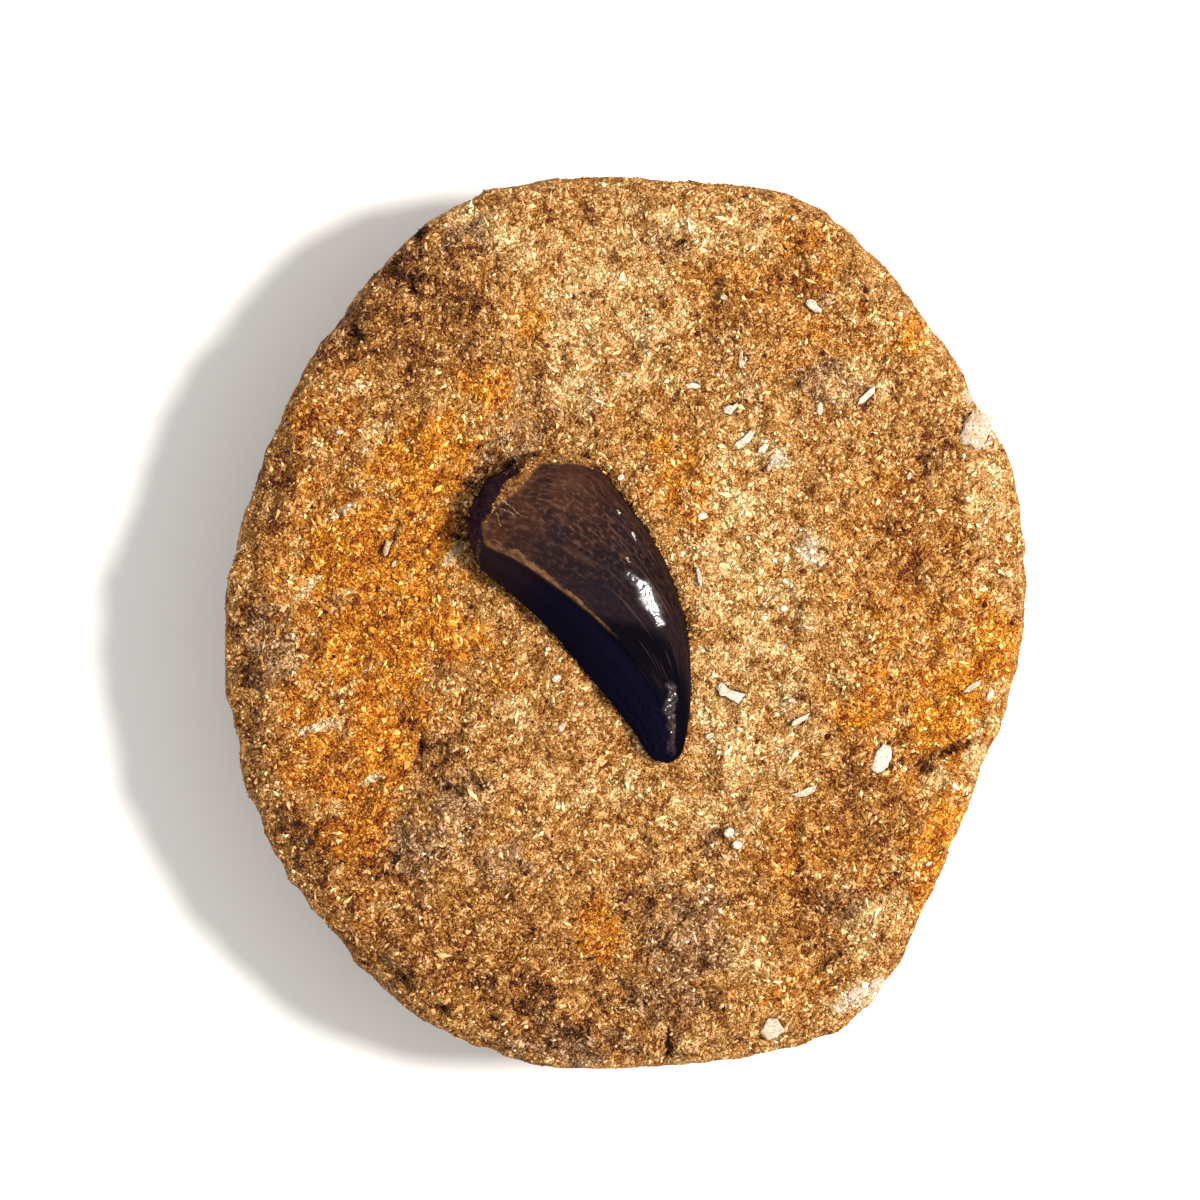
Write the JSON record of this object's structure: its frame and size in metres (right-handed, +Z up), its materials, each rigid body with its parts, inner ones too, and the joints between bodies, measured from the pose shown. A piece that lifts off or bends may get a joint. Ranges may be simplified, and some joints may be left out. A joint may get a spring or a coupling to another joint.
{
  "type": "fossil mosasaur tooth in matrix",
  "caption": "Curved dark fossil tooth lying half buried in a rounded slab of sandy tan-orange rock dotted with bone chips, to display lying on its flat underside.",
  "frame": {"origin": "on the flat underside, below the middle of the slab's outline", "axes": "+Z up out of the face that holds the tooth, +Y along the slab's longer side, the tooth's tip towards +X -Y"},
  "size_m": [0.0952, 0.106, 0.035],
  "materials": {
    "rock": "matte",
    "enamel": "gloss",
    "bone": "matte"
  },
  "bodies": {
    "root": {"matrix": "rock", "tooth": "enamel", "bone_chip_north": "bone", "bone_chip_bead": "bone", "bone_chip_block": "bone", "bone_chip_rim": "bone", "bone_chip_pearl": "bone", "bone_chip_foot": "bone", "bone_chip_west": "bone", "bone_splinter_needle": "bone", "bone_splinter_curl": "bone", "bone_splinter_bar": "bone", "bone_splinter_knuckle": "bone", "bone_splinter_south": "bone", "bone_splinter_crescent": "bone", "bone_splinter_east": "bone"}
  },
  "joints": []
}
